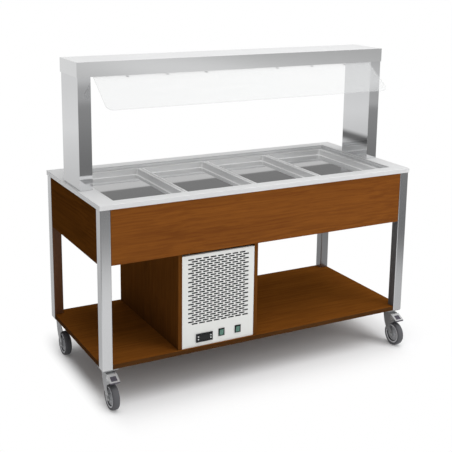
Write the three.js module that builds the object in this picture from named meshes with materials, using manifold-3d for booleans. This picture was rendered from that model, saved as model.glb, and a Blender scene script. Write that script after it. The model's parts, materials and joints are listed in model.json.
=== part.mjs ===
// Cold buffet trolley: a refrigerated well for four food pans, with a lit canopy, a clear guard and four casters.
// Millimetres, +Z up, X along the length, the guard and the controls face -Y.
// The origin is on the floor, in the middle of the trolley's bounding box.
import * as THREE from "three";
import { mergeVertices } from "three/addons/utils/BufferGeometryUtils.js";
import Module from "manifold-3d";

// General sizes
const fit = 0.3; // gap between pieces that rest on or in each other
const overrun = 10; // how far a cut runs past what it cuts
const steelSheet = 1.5;
const board = 18;
const cornerSteps = 3;
const weldShare = 1e-4; // of the fit: vertices closer than this are one

// Worktop and legs
const topLength = 1480;
const topDepth = 654;
const topSheet = 2;
const fasciaHeight = 20;
const frameHeight = 676; // legs' lower ends to the worktop's surface
const legSize = 44;
const legWall = 2;
const legCorner = 4;
const boardRecess = 2; // aprons and shelf behind the legs' outer faces

// Boards
const apronDrop = 245; // apron's lower edge below the worktop's surface
const shelfThickness = 20;

// Pans and the well
const panCount = 4;
const endBorder = 68.75; // worktop's border at the ends of the well
const sideBorder = 55.5; // and along it
const panGap = 1.5;
const panSheet = 1.2;
const panFlange = 12;
const panDepth = 24;
const panWallLean = 10;
const panCorner = 12;
const panSeatClearance = 1.5;
const wellEndLedge = 14; // past the row of pans at each end
const wellStepWidth = 5;
const wellStepDepth = 8;
const panSeatDepth = 18; // pan seat below the worktop's surface
const tankDepth = 200;
const tankFlange = 14;
const foamWall = 17;
const foamFloor = 33;

// Drain
const drainX = -220;
const drainInset = 49.5; // drain's middle from the well's back wall
const drainPipe = 28;
const drainClearance = 1;
const drainFlange = 52;
const drainFlangeHeight = 3;
const valveBody = 46;
const valveDrop = 60; // valve's middle below the foam
const valveTail = 55;
const valveStem = 10;
const valveStemReach = 38;
const valvePinReach = 8;
const leverLength = 90;
const leverWidth = 14;
const leverThickness = 4;

// Posts and canopy
const postWidth = 54;
const postFrontY = -88;
const postBackY = 111;
const postInset = 8;
const canopyInset = 5;
const canopyRise = 516; // canopy's top above the worktop's surface
const canopyHeight = 59;
const canopyFrontY = -90;
const canopyBackY = 116;
const lampPlateRise = 4;
const lampPlateFrontY = -64;
const lampPlateLip = 15;
const lampLength = 1200;
const lampWidth = 60;
const lampRise = 10;
const lampLip = 6;
const lampLipHeight = 3;

// Guard
const guardLength = 1334;
const guardReach = 185; // along its slope, from the canopy's lower edge
const guardTuck = 24; // along its slope, inside the canopy
const guardThickness = 5;
const guardCorner = 28;
const guardSlope = THREE.MathUtils.degToRad(36);
const guardLip = 26;
const guardLipRoot = 0.6;
const guardCornerSteps = 5;

// Machine compartment and its vent panels
const boxX = -220.5;
const boxWidth = 335;
const boxSetback = 10;
const panelTopGap = 12;
const panelDepth = 14;
const slotLength = 26;
const slotHeight = 4.5;
const slotColumns = 8;
const slotColumnPitch = 34;
const slotRows = 30;
const slotRowPitch = 9.6;
const slotTopMargin = 18;
const louvreLength = 240;
const louvreHeight = 7;
const louvreRows = 14;
const louvrePitch = 18;
const louvreTopMargin = 60;

// Controls
const controlGap = 0.5;
const controllerX = -66; // from the panel's middle
const controllerRise = 37; // above the shelf
const controllerWidth = 76;
const controllerHeight = 37;
const controllerBodyWidth = 70;
const controllerBodyHeight = 29;
const controllerBodyDepth = 50;
const bezelThickness = 4;
const buttonSize = 6;
const buttonProud = 1.5;
const buttonPocket = 2.8;
const buttonInset = 9; // button's middle from the bezel's end
const buttonPitch = 11;
const buttonLength = 3;
const switchNearX = 14.5; // from the panel's middle
const switchFarX = 92;
const switchRise = 44;
const switchWidth = 28;
const switchHeight = 33;
const switchBodyWidth = 23;
const switchBodyHeight = 29;
const switchBodyDepth = 26;
const switchFrame = 2.5;
const rockerWidth = 18;
const rockerHeight = 24;
const rockerClearance = 0.8;
const rockerPivotDepth = 4; // behind the bezel's face
const rockerBack = 5;
const rockerPeak = 3;
const rockerEdge = 1.5;
const rockerPocket = 12;
const rockerPin = 3;
const rockerThrow = THREE.MathUtils.degToRad(16);

// Refrigeration unit
const unitWidth = 300;
const unitSetback = 22.7; // base tray behind the front panel
const unitDepth = 402;
const unitLip = 15;
const condenserWidth = 260;
const condenserDepth = 50;
const condenserHeight = 250;
const condenserSetback = 56.7; // behind the front panel
const condenserPlate = 2;
const finCount = 12;
const finGrooveShare = 0.45;
const finGrooveDepth = 6;
const shroudDepth = 34;
const fanDiameter = 212;
const fanTipGap = 8;
const fanHub = 56;
const fanHubDepth = 18;
const bladeCount = 5;
const bladeRoot = 18;
const bladeWidth = 46;
const bladeThickness = 2.5;
const bladePitch = THREE.MathUtils.degToRad(28);
const motorDiameter = 70;
const motorDepth = 56;
const motorShaft = 10;
const motorGap = 4;
const motorArm = 16;
const motorArmThickness = 4;
const compressorInset = 90; // from the base tray's back edge
const compressorDiameter = 156;
const compressorHeight = 190;
const compressorFoot = 22;
const compressorFootWidth = 170;
const compressorFootDepth = 90;
const compressorFootPlate = 4;
const terminalBox = 46;
const terminalBoxProud = 26;

// Casters
const casterHeight = 165;
const casterInset = 14; // swivel axis inside the leg's middle
const casterTrail = 40;
const casterPlate = 66;
const casterPlateThickness = 4;
const raceDiameter = 48;
const raceHeight = 10.4;
const kingpin = 12;
const kingpinHead = 22;
const kingpinHeadHeight = 7;
const kingpinClearance = 0.6;
const wheelRadius = 54;
const tyreWidth = 30;
const tyreWall = 11;
const tyreShoulder = 5;
const tyreCrown = 1.2;
const hubRim = 4;
const hubWeb = 12;
const hubRimWidth = 24;
const hubBoss = 30;
const hubWidth = 32;
const axleDiameter = 8;
const axleClearance = 0.3;
const axleNut = 15;
const axleNutHeight = 5;
const forkInside = 33;
const forkPlate = 2.5;
const forkEye = 14;
const pedalPlate = 3;
const pedalRootReach = 36; // forward of the swivel axis
const pedalRootDrop = 18; // below the caster's top
const pedalTipReach = 74;
const pedalTipDrop = 38;
const pedalPivotReach = 40;
const pedalPivotDrop = 34;
const pedalEar = 8;
const pedalEarWall = 2;
const pedalEarShare = 0.85; // of the plate's length
const pedalPin = 6;

// Steps round the turned pieces
const tyreSteps = 24;
const hubSteps = 18;
const rodSteps = 12;
const potSteps = 18;
const fanSteps = 24;
const nutSides = 6;

// A fork cheek's outline, as shares of the trail (forwards) and of the axle's drop below the caster's top.
const cheekFrontShares = [
  [-0.6, 0.135],
  [0.75, 0.135],
  [0.9, 0.185],
  [1.45, 0.34],
  [1.5, 0.4],
  [0.82, 0.55],
  [0.72, 0.64],
  [0.82, 0.78],
];
const cheekBackShares = [
  [0.12, 0.86],
  [-0.25, 0.62],
  [-0.45, 0.35],
];
const eyeStart = THREE.MathUtils.degToRad(150);
const eyeSweep = THREE.MathUtils.degToRad(230);
const eyeSteps = 6;

// The compressor's outline, as shares of its radius and of its height.
const potShares = [
  [0, 0],
  [0.72, 0],
  [0.93, 0.07],
  [1, 0.2],
  [1, 0.7],
  [0.93, 0.86],
  [0.7, 0.96],
  [0.35, 1],
  [0, 1],
];

// Places that follow from the sizes
const topX = topLength / 2;
const topY = topDepth / 2;
const topZ = casterHeight + frameHeight;
const underTop = topZ - topSheet - fit;
const legX = topX - topSheet - fit;
const legY = topY - topSheet - fit;
const legInX = legX - legSize;
const legInY = legY - legSize;
const boardX = legX - boardRecess;
const boardY = legY - boardRecess;
const apronBottom = topZ - apronDrop;
const shelfTop = casterHeight + shelfThickness;
const wellX = topX - endBorder;
const wellY = topY - sideBorder;
const seatX = wellX - wellStepWidth;
const seatY = wellY - wellStepWidth;
const panRowX = seatX - wellEndLedge;
const panPitch = (2 * panRowX + panGap) / panCount;
const panWidth = panPitch - panGap;
const panLength = 2 * (seatY - panSeatClearance);
const seatZ = topZ - panSeatDepth;
const boreX = panRowX - panFlange + panSeatClearance;
const boreY = panLength / 2 - panFlange + panSeatClearance;
const drainY = boreY - drainInset;
const tankFloor = topZ - tankDepth;
const foamBottom = tankFloor - steelSheet - foamFloor;
const postX = topX - postInset;
const postInX = postX - postWidth;
const canopyX = topX - canopyInset;
const canopyTop = topZ + canopyRise;
const canopyBottom = canopyTop - canopyHeight;
const boxY = legY - boxSetback;
const boxBottom = shelfTop + fit;
const boxTop = apronBottom - fit;
const unitFrontY = unitSetback - boxY;
const unitBackY = unitFrontY + unitDepth;
const compressorY = unitBackY - compressorInset;
const condenserFrontY = condenserSetback - boxY;
const panelX = boxWidth / 2 - fit;
const panelTop = apronBottom - panelTopGap;
const swivelX = legX - legSize / 2 - casterInset;
const swivelY = legY - legSize / 2 - casterInset;
const axleDrop = casterHeight - wheelRadius;
const switchXs = [switchNearX, switchFarX];
const pedalWidth = forkInside + 2 * (forkPlate + fit + pedalEarWall);
const middleShift = (swivelY + casterTrail + wheelRadius - topY) / 2;

// Materials
const wasm = await Module();
wasm.setup();

const finish = (color, roughness, metalness, more = {}) =>
  new THREE.MeshStandardMaterial({ color, roughness, metalness, ...more });
const steel = finish(0xcfd0d1, 0.28, 1);
const panSteel = finish(0xc2c4c6, 0.24, 1);
const wood = finish(0x7a431b, 0.38, 0);
const greyPaint = finish(0xd6d7d7, 0.45, 0.1);
const zinc = finish(0x9b9d9e, 0.4, 0.9);
const blackPlastic = finish(0x17181a, 0.4, 0);
const palePlastic = finish(0xd0d2d0, 0.4, 0);
const greenPlastic = finish(0x3f9c6c, 0.3, 0);
const clear = finish(0xf2f7f6, 0.05, 0, { transparent: true, opacity: 0.25 });
const opal = finish(0xf4f4ee, 0.5, 0);
const foam = finish(0xb9bcbd, 0.5, 0.6);
const blackPaint = finish(0x1c1d1e, 0.45, 0.2);
const rubber = finish(0x55565a, 0.75, 0);
const hubPlastic = finish(0x8f9193, 0.5, 0);
const brass = finish(0xb08d4b, 0.35, 0.9);
const fins = finish(0xa9abad, 0.5, 0.9);

// Shapes
function solid(geometry) {
  const bare = geometry.clone();
  bare.deleteAttribute("normal");
  bare.deleteAttribute("uv");
  const merged = mergeVertices(bare, fit * weldShare);
  const mesh = new wasm.Mesh({
    numProp: 3,
    vertProperties: merged.attributes.position.array,
    triVerts: new Uint32Array(merged.index.array),
  });
  return new wasm.Manifold(mesh);
}

const both = (half) => [-half, half];
const around = (middle, size) => [middle - size / 2, middle + size / 2];

function box([x0, x1], [y0, y1], [z0, z1]) {
  const shape = new THREE.BoxGeometry(x1 - x0, y1 - y0, z1 - z0);
  return solid(shape.translate((x0 + x1) / 2, (y0 + y1) / 2, (z0 + z1) / 2));
}

// A prism on the XY plane between two heights.
function prism(points, z0, z1, holes = []) {
  const shape = new THREE.Shape(points);
  shape.holes = holes.map((hole) => new THREE.Path(hole));
  const geometry = new THREE.ExtrudeGeometry(shape, { depth: z1 - z0, bevelEnabled: false });
  return solid(geometry.translate(0, 0, z0));
}

// A prism whose outline is in the YZ plane and which runs along X.
function crossPrism(points, x0, x1) {
  const shape = new THREE.Shape(points);
  const geometry = new THREE.ExtrudeGeometry(shape, { depth: x1 - x0, bevelEnabled: false });
  const turn = new THREE.Matrix4().makeBasis(
    new THREE.Vector3(0, 1, 0),
    new THREE.Vector3(0, 0, 1),
    new THREE.Vector3(1, 0, 0),
  );
  return solid(geometry.applyMatrix4(turn).translate(x0, 0, 0));
}

// A round rod along X, Y or Z between two places on that axis; a and b are its centre on the other two axes.
function rod(axis, diameter, [from, to], a, b, steps = rodSteps) {
  const geometry = new THREE.CylinderGeometry(diameter / 2, diameter / 2, to - from, steps);
  const middle = (from + to) / 2;
  if (axis === "x") return solid(geometry.rotateZ(-Math.PI / 2).translate(middle, a, b));
  if (axis === "y") return solid(geometry.translate(a, middle, b));
  return solid(geometry.rotateX(Math.PI / 2).translate(a, b, middle));
}

// A body turned about Z from points given as radius and height.
function turned(points, steps) {
  const profile = points.map(([r, z]) => new THREE.Vector2(r, z));
  return solid(new THREE.LatheGeometry(profile, steps).rotateX(Math.PI / 2));
}

// A body turned about X, with the middle of a facet at the bottom.
function wheelTurned(points, steps) {
  const ring = [...points, points[0]].map(([r, x]) => new THREE.Vector2(r, x));
  const half = Math.PI / steps;
  return solid(new THREE.LatheGeometry(ring, steps, half).rotateZ(-Math.PI / 2));
}

function roundedRectangle(width, depth, radius, steps = cornerSteps) {
  const points = [];
  const x = width / 2 - radius;
  const y = depth / 2 - radius;
  const corners = [[x, y], [-x, y], [-x, -y], [x, -y]];
  corners.forEach(([cx, cy], quarter) => {
    for (let i = 0; i <= steps; i++) {
      const angle = ((quarter + i / steps) * Math.PI) / 2;
      points.push(new THREE.Vector2(cx + radius * Math.cos(angle), cy + radius * Math.sin(angle)));
    }
  });
  return points;
}

// A body between a lower and an upper outline with as many points each.
function loft(lower, z0, upper, z1) {
  const count = lower.length;
  const positions = [];
  lower.forEach((p) => positions.push(p.x, p.y, z0));
  upper.forEach((p) => positions.push(p.x, p.y, z1));
  const index = [];
  for (let i = 0; i < count; i++) {
    const next = (i + 1) % count;
    index.push(i, next, count + next, i, count + next, count + i);
  }
  for (const [a, b, c] of THREE.ShapeUtils.triangulateShape(upper, [])) {
    index.push(count + a, count + b, count + c, c, b, a);
  }
  const geometry = new THREE.BufferGeometry();
  geometry.setAttribute("position", new THREE.Float32BufferAttribute(positions, 3));
  geometry.setIndex(index);
  return solid(geometry);
}

const join = (parts) => parts.reduce((sum, part) => sum.add(part));
const cut = (body, parts) => parts.reduce((rest, part) => rest.subtract(part), body);

// The scene graph
const trolley = new THREE.Group();
trolley.position.y = middleShift;

function add(name, body, material, parent = trolley) {
  const made = body.getMesh();
  const geometry = new THREE.BufferGeometry();
  geometry.setAttribute("position", new THREE.BufferAttribute(made.vertProperties, 3));
  geometry.setIndex(new THREE.BufferAttribute(made.triVerts, 1));
  const mesh = new THREE.Mesh(geometry, material);
  mesh.name = name;
  parent.add(mesh);
  return mesh;
}

function group(x, y, z, parent = trolley) {
  const made = new THREE.Group();
  made.position.set(x, y, z);
  parent.add(made);
  return made;
}

// Worktop: a folded steel lid over the legs and aprons, with the well's opening.
function worktop() {
  const lid = box(both(topX), both(topY), [topZ - fasciaHeight, topZ]);
  const inside = box(both(topX - topSheet), both(topY - topSheet), [topZ - fasciaHeight - overrun, topZ - topSheet]);
  const opening = box(both(wellX), both(wellY), [topZ - fasciaHeight, topZ + overrun]);
  add("worktop", cut(lid, [inside, opening]), steel);
}

// Tank: the stepped well hung under the worktop, with the ledge that carries the pans' rims.
function tank() {
  const flangeTop = underTop;
  const flangeBottom = flangeTop - steelSheet;
  const upper = topZ - wellStepDepth;
  const steps = [
    [wellX, wellY, upper],
    [seatX, seatY, seatZ],
    [boreX, boreY, tankFloor],
  ];
  const shells = steps.map(([x, y, z]) =>
    box(both(x + steelSheet), both(y + steelSheet), [z - steelSheet, flangeTop]));
  const hollows = steps.map(([x, y, z]) => box(both(x), both(y), [z, topZ]));
  const flange = box(both(wellX + tankFlange), both(wellY + tankFlange), [flangeBottom, flangeTop]);
  const hole = rod("z", drainPipe + drainClearance, [tankFloor - overrun, tankFloor + overrun], drainX, drainY);
  add("tank", cut(join([flange, ...shells]), [...hollows, hole]), steel);
}

// Casing: the foamed jacket round the tank.
function tankCasing() {
  const jacketX = seatX + steelSheet + foamWall;
  const jacketY = seatY + steelSheet + foamWall;
  const body = box(both(jacketX), both(jacketY), [foamBottom, underTop - steelSheet - fit]);
  const skin = steelSheet + fit;
  const hollows = [
    box(both(wellX + skin), both(wellY + skin), [topZ - wellStepDepth - skin, topZ]),
    box(both(seatX + skin), both(seatY + skin), [seatZ - skin, topZ]),
    box(both(boreX + skin), both(boreY + skin), [tankFloor - skin, topZ]),
    rod("z", drainPipe + drainClearance, [foamBottom - overrun, tankFloor], drainX, drainY),
  ];
  add("tank_casing", cut(body, hollows), foam);
}

// Drain: a plug valve under the tank, closed by a quarter-turn lever.
function drain() {
  const z = foamBottom - valveDrop;
  const pieces = [
    rod("z", drainFlange, [tankFloor + fit, tankFloor + fit + drainFlangeHeight], drainX, drainY),
    rod("z", drainPipe, [z - valveTail, tankFloor + fit + drainFlangeHeight], drainX, drainY),
    rod("z", valveBody, around(z, valveBody), drainX, drainY),
    rod("y", valvePinReach * 2, [drainY, drainY + valveStemReach - leverThickness - fit], drainX, z),
  ];
  add("drain_valve", join(pieces), brass);
  const lever = group(drainX, drainY + valveStemReach, z);
  const bar = box([-leverWidth / 2, leverLength], [-leverThickness, 0], both(leverWidth / 2));
  const stem = rod("y", valveStem, [-leverThickness, valvePinReach], 0, 0);
  add("drain_lever", join([bar, stem]), zinc, lever);
}

// Legs: square tubes with rounded corners.
function legs() {
  const outer = roundedRectangle(legSize, legSize, legCorner);
  const inner = roundedRectangle(legSize - 2 * legWall, legSize - 2 * legWall, legCorner - legWall);
  const tube = prism(outer, casterHeight, underTop, [inner]);
  for (const [name, x, y] of [["front_left", -1, -1], ["front_right", 1, -1], ["back_left", -1, 1], ["back_right", 1, 1]]) {
    const place = group(x * (legX - legSize / 2), y * (legY - legSize / 2), 0);
    add("leg_" + name, tube, steel, place);
  }
}

// Aprons: boards between the legs, behind the worktop's fascia.
function aprons() {
  const height = [apronBottom, underTop];
  const long = both(legInX - fit);
  const short = both(legInY - fit);
  add("apron_front", box(long, [-boardY, board - boardY], height), wood);
  add("apron_back", box(long, [boardY - board, boardY], height), wood);
  add("apron_left", box([-boardX, board - boardX], short, height), wood);
  add("apron_right", box([boardX - board, boardX], short, height), wood);
}

// Shelf: notched round the legs, and carried on the casters' plates.
function shelf() {
  const height = [casterHeight, shelfTop];
  const plate = box(both(boardX), both(boardY), height);
  const notches = [];
  for (const x of [-1, 1]) {
    for (const y of [-1, 1]) {
      const across = x * (legInX + legSize / 2);
      const along = y * (legInY + legSize / 2);
      const size = legSize + 2 * fit;
      notches.push(box(around(across, size), around(along, size), [casterHeight - overrun, shelfTop + overrun]));
    }
  }
  add("shelf", cut(plate, notches), wood);
}

// Pans: shallow trays whose rims lie on the well's ledge.
function pans() {
  const mouthWidth = panWidth - 2 * panFlange;
  const mouthLength = panLength - 2 * panFlange;
  const bottomWidth = mouthWidth - 2 * panWallLean;
  const bottomLength = mouthLength - 2 * panWallLean;
  const rimZ = fit + panSheet;
  const floorZ = rimZ - panDepth - panSheet;
  const rim = prism(roundedRectangle(panWidth, panLength, panCorner), fit, rimZ);
  const mouth = roundedRectangle(mouthWidth, mouthLength, panCorner);
  const bottom = roundedRectangle(bottomWidth, bottomLength, panCorner);
  const inset = (size) => size - 2 * panSheet;
  const innerMouth = roundedRectangle(inset(mouthWidth), inset(mouthLength), panCorner - panSheet);
  const innerBottom = roundedRectangle(inset(bottomWidth), inset(bottomLength), panCorner - panSheet);
  const outside = loft(bottom, floorZ, mouth, rimZ);
  const inside = loft(innerBottom, floorZ + panSheet, innerMouth, rimZ);
  const mouthCut = prism(innerMouth, rimZ - panSheet / 2, rimZ + overrun);
  const tray = cut(join([rim, outside]), [inside, mouthCut]);
  for (let i = 0; i < panCount; i++) {
    const x = (i - (panCount - 1) / 2) * panPitch;
    add("pan_" + (i + 1), tray, panSteel, group(x, 0, seatZ));
  }
}

// Posts: flat steel columns that stand on the worktop's ends.
function posts() {
  const height = [topZ + fit, canopyTop - steelSheet - fit];
  for (const [name, side] of [["left", -1], ["right", 1]]) {
    const middle = side * (postX - postWidth / 2);
    const outer = box(around(middle, postWidth), [postFrontY, postBackY], height);
    const inner = box(
      around(middle, postWidth - 2 * steelSheet),
      [postFrontY + steelSheet, postBackY - steelSheet],
      [height[0] - overrun, height[1] + overrun],
    );
    add("post_" + name, outer.subtract(inner), steel);
  }
}

// The guard's own frame: X along the canopy, Y up its slope and Z off its upper face.
function guardFrame() {
  const place = group(0, canopyFrontY + steelSheet, canopyBottom);
  place.rotation.x = guardSlope;
  return place;
}

// Canopy: a folded hood with a sloping lip inside its front, which the guard is screwed to.
function canopy() {
  const hood = box(both(canopyX), [canopyFrontY, canopyBackY], [canopyBottom, canopyTop]);
  const inside = box(
    both(canopyX - steelSheet),
    [canopyFrontY + steelSheet, canopyBackY - steelSheet],
    [canopyBottom - overrun, canopyTop - steelSheet],
  );
  const flat = new THREE.BoxGeometry(guardLength, guardLip + guardLipRoot, steelSheet);
  flat.translate(0, (guardLip - guardLipRoot) / 2, steelSheet / 2);
  flat.rotateX(guardSlope).translate(0, canopyFrontY + steelSheet, canopyBottom);
  add("canopy", hood.subtract(inside).add(solid(flat)), steel);
}

// Lamp: a plate that closes the canopy between the posts, with an opal cover in its slot.
function lamp() {
  const x = postInX - fit;
  const back = canopyBackY - steelSheet - fit;
  const z = canopyBottom + lampPlateRise;
  const slotMiddle = (lampPlateFrontY + back) / 2;
  const tray = box(both(x), [lampPlateFrontY, back], [z, z + lampPlateLip]);
  const inside = box(
    both(x - steelSheet),
    [lampPlateFrontY + steelSheet, back - steelSheet],
    [z + steelSheet, z + lampPlateLip + overrun],
  );
  const slot = box(both(lampLength / 2), around(slotMiddle, lampWidth), [z - overrun, z + overrun]);
  add("lamp_housing", cut(tray, [inside, slot]), steel);
  const coverX = lampLength / 2 - fit;
  const coverWidth = lampWidth - 2 * fit;
  const lipBottom = z + steelSheet + fit;
  const cover = [
    box(both(coverX), around(slotMiddle, coverWidth), [z - lampPlateRise / 2, lipBottom + lampRise]),
    box(both(coverX + lampLip), around(slotMiddle, coverWidth + 2 * lampLip), [lipBottom, lipBottom + lampLipHeight]),
  ];
  add("lamp_diffuser", join(cover), opal);
}

// Guard: a clear sheet with rounded lower corners.
function guard() {
  const x = guardLength / 2;
  const c = x - guardCorner;
  const y = guardCorner - guardReach;
  const points = [new THREE.Vector2(x, guardTuck), new THREE.Vector2(-x, guardTuck)];
  for (let i = 0; i <= guardCornerSteps; i++) {
    const angle = Math.PI * (1 + i / (2 * guardCornerSteps));
    points.push(new THREE.Vector2(guardCorner * Math.cos(angle) - c, y + guardCorner * Math.sin(angle)));
  }
  for (let i = 0; i <= guardCornerSteps; i++) {
    const angle = Math.PI * (1.5 + i / (2 * guardCornerSteps));
    points.push(new THREE.Vector2(guardCorner * Math.cos(angle) + c, y + guardCorner * Math.sin(angle)));
  }
  add("guard", prism(points, -guardThickness - fit, -fit), clear, guardFrame());
}

// Compartment: two boards from the shelf to the apron, closed by a vented panel at each end.
function compartment() {
  const height = [boxBottom, boxTop];
  for (const [name, side] of [["left", -1], ["right", 1]]) {
    const middle = boxX + (side * (boxWidth + board)) / 2;
    add("box_side_" + name, box(around(middle, board), both(boxY), height), wood);
  }
  ventPanel("vent_panel_front", -1, [...slotHoles(), ...controlHoles()]);
  ventPanel("vent_panel_back", 1, louvreHoles());
}

// A folded panel: a sheet with its edges turned inwards, and the openings cut through it.
function ventPanel(name, side, openings) {
  const inward = (from, to) => [side * from, side * to].sort((a, b) => a - b);
  const tray = box(both(panelX), inward(0, -panelDepth), [boxBottom, panelTop]);
  const inside = box(
    both(panelX - steelSheet),
    inward(-steelSheet, -panelDepth - overrun),
    [boxBottom + steelSheet, panelTop - steelSheet],
  );
  const through = inward(-steelSheet - overrun, overrun);
  const holes = openings.map(([x, z, width, height]) => box(around(x, width), through, around(z, height)));
  add(name, tray.subtract(inside).subtract(join(holes)), greyPaint, group(boxX, side * boxY, 0));
}

// The openings are listed as their middle, across and up, and their width and height.
function slotHoles() {
  const holes = [];
  for (let row = 0; row < slotRows; row++) {
    const z = panelTop - slotTopMargin - row * slotRowPitch;
    const shift = row % 2 ? slotColumnPitch / 4 : -slotColumnPitch / 4;
    for (let column = 0; column < slotColumns; column++) {
      const x = (column - (slotColumns - 1) / 2) * slotColumnPitch + shift;
      holes.push([x, z, slotLength, slotHeight]);
    }
  }
  return holes;
}

function louvreHoles() {
  const holes = [];
  for (let row = 0; row < louvreRows; row++) {
    holes.push([0, panelTop - louvreTopMargin - row * louvrePitch, louvreLength, louvreHeight]);
  }
  return holes;
}

function controlHoles() {
  const grow = 2 * controlGap;
  const holes = [
    [controllerX, shelfTop + controllerRise, controllerBodyWidth + grow, controllerBodyHeight + grow],
  ];
  for (const x of switchXs) {
    holes.push([x, shelfTop + switchRise, switchBodyWidth + grow, switchBodyHeight + grow]);
  }
  return holes;
}

// Controller: a bezel and its body through the panel, with four push buttons in pockets.
function controller() {
  const place = group(boxX + controllerX, -boxY - fit, shelfTop + controllerRise);
  const bezel = box(both(controllerWidth / 2), [-bezelThickness, 0], both(controllerHeight / 2));
  const body = box(both(controllerBodyWidth / 2), [-bezelThickness / 2, controllerBodyDepth], both(controllerBodyHeight / 2));
  const pocketSize = buttonSize + 2 * fit;
  const pockets = [];
  const spots = [];
  for (const side of [-1, 1]) {
    for (const rise of [1, -1]) {
      spots.push([side * (controllerWidth / 2 - buttonInset), (rise * buttonPitch) / 2]);
    }
  }
  for (const [x, z] of spots) {
    const depth = [-bezelThickness - overrun, buttonPocket - bezelThickness];
    pockets.push(box(around(x, pocketSize), depth, around(z, pocketSize)));
  }
  add("controller", cut(join([bezel, body]), pockets), blackPlastic, place);
  spots.forEach(([x, z], i) => {
    const button = group(x, -bezelThickness - buttonProud, z, place);
    add("controller_button_" + (i + 1), rod("y", buttonSize, [0, buttonLength], 0, 0), palePlastic, button);
  });
}

// Rocker switches: a bezel with a pocket, and a rocker on a pin across it.
function switches() {
  const pocketWidth = rockerWidth + 2 * rockerClearance;
  const pocketHeight = rockerHeight + 2 * rockerClearance;
  switchXs.forEach((x, i) => {
    const place = group(boxX + x, -boxY - fit, shelfTop + switchRise);
    const frame = box(both(switchWidth / 2), [-switchFrame, 0], both(switchHeight / 2));
    const body = box(both(switchBodyWidth / 2), [-switchFrame / 2, switchBodyDepth], both(switchBodyHeight / 2));
    const pocket = box(both(pocketWidth / 2), [-switchFrame - overrun, rockerPocket], both(pocketHeight / 2));
    const pinDepth = rockerPivotDepth - switchFrame;
    const pin = rod("x", rockerPin, both(pocketWidth / 2 + rockerClearance), pinDepth, 0);
    add("switch_bezel_" + (i + 1), join([cut(join([frame, body]), [pocket]), pin]), blackPlastic, place);
    const outline = [
      [rockerBack, -rockerHeight / 4],
      [rockerBack, rockerHeight / 4],
      [-rockerPivotDepth + rockerEdge, rockerHeight / 2],
      [-rockerPivotDepth - rockerEdge, rockerHeight / 2],
      [-rockerPivotDepth + rockerEdge - rockerPeak / 2, 0],
      [-rockerPivotDepth - rockerEdge, -rockerHeight / 2],
      [-rockerPivotDepth + rockerEdge, -rockerHeight / 2],
    ];
    const shape = crossPrism(outline.map(([y, z]) => new THREE.Vector2(y, z)), -rockerWidth / 2, rockerWidth / 2);
    const bore = rod("x", rockerPin + 2 * fit, both(rockerWidth), 0, 0);
    const pivot = group(0, pinDepth, 0, place);
    pivot.rotation.x = rockerThrow / 2;
    add("switch_rocker_" + (i + 1), shape.subtract(bore), greenPlastic, pivot);
  });
}

// Refrigeration unit: base tray, condenser with its fan, and the hermetic compressor.
function refrigerationUnit() {
  const baseZ = boxBottom;
  const tray = box(around(boxX, unitWidth), [unitFrontY, unitBackY], [baseZ, baseZ + unitLip]);
  const inside = box(
    around(boxX, unitWidth - 2 * steelSheet),
    [unitFrontY + steelSheet, unitBackY - steelSheet],
    [baseZ + steelSheet, baseZ + unitLip + overrun],
  );
  add("unit_base", tray.subtract(inside), zinc);
  condenser(baseZ + steelSheet + fit);
  compressor(baseZ + steelSheet + fit);
}

function condenser(z) {
  const back = condenserFrontY + condenserDepth;
  const shroudBack = back + shroudDepth;
  const fanZ = z + condenserHeight / 2;
  const block = box(around(boxX, condenserWidth), [condenserFrontY, back], [z, z + condenserHeight]);
  const pitch = (condenserWidth - 2 * condenserPlate) / finCount;
  const grooves = [];
  for (let i = 0; i < finCount; i++) {
    const x = boxX + (i - (finCount - 1) / 2) * pitch;
    const depth = [condenserFrontY - overrun, condenserFrontY + finGrooveDepth];
    grooves.push(box(around(x, pitch * finGrooveShare), depth, [z + condenserPlate * 2, z + condenserHeight - condenserPlate * 2]));
  }
  const shroud = box(around(boxX, condenserWidth), [back, shroudBack], [z, z + condenserHeight]);
  const throat = rod("y", fanDiameter + 2 * fanTipGap, [back, shroudBack + overrun], boxX, fanZ, fanSteps);
  add("condenser", join([cut(block, grooves), shroud.subtract(throat)]), fins);

  const bladeY = shroudBack - shroudDepth / 2;
  const blade = group(boxX, bladeY, fanZ);
  const hub = rod("y", fanHub, both(fanHubDepth / 2), 0, 0, fanSteps / 2);
  const arms = [];
  for (let i = 0; i < bladeCount; i++) {
    const flat = new THREE.BoxGeometry(bladeWidth, bladeThickness, fanDiameter / 2 - bladeRoot);
    flat.rotateZ(bladePitch).translate(0, 0, (fanDiameter / 2 + bladeRoot) / 2);
    flat.rotateY((i * 2 * Math.PI) / bladeCount);
    arms.push(solid(flat));
  }
  const ring = rod("y", fanDiameter, both(bladeWidth), 0, 0, fanSteps);
  const shaftHole = rod("y", motorShaft + 2 * fit, both(bladeWidth), 0, 0);
  add("fan_blade", join([hub, ...arms]).intersect(ring).subtract(shaftHole), blackPlastic, blade);

  const motorFront = bladeY + fanHubDepth / 2 + motorGap;
  const armY = [shroudBack + fit, shroudBack + fit + motorArmThickness];
  const motor = [
    rod("y", motorDiameter, [motorFront, motorFront + motorDepth], boxX, fanZ),
    rod("y", motorShaft, [bladeY - fanHubDepth / 2, motorFront + motorGap], boxX, fanZ),
    box(around(boxX, condenserWidth), armY, around(fanZ, motorArm)),
  ];
  add("fan_motor", join(motor), blackPaint);
}

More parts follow.
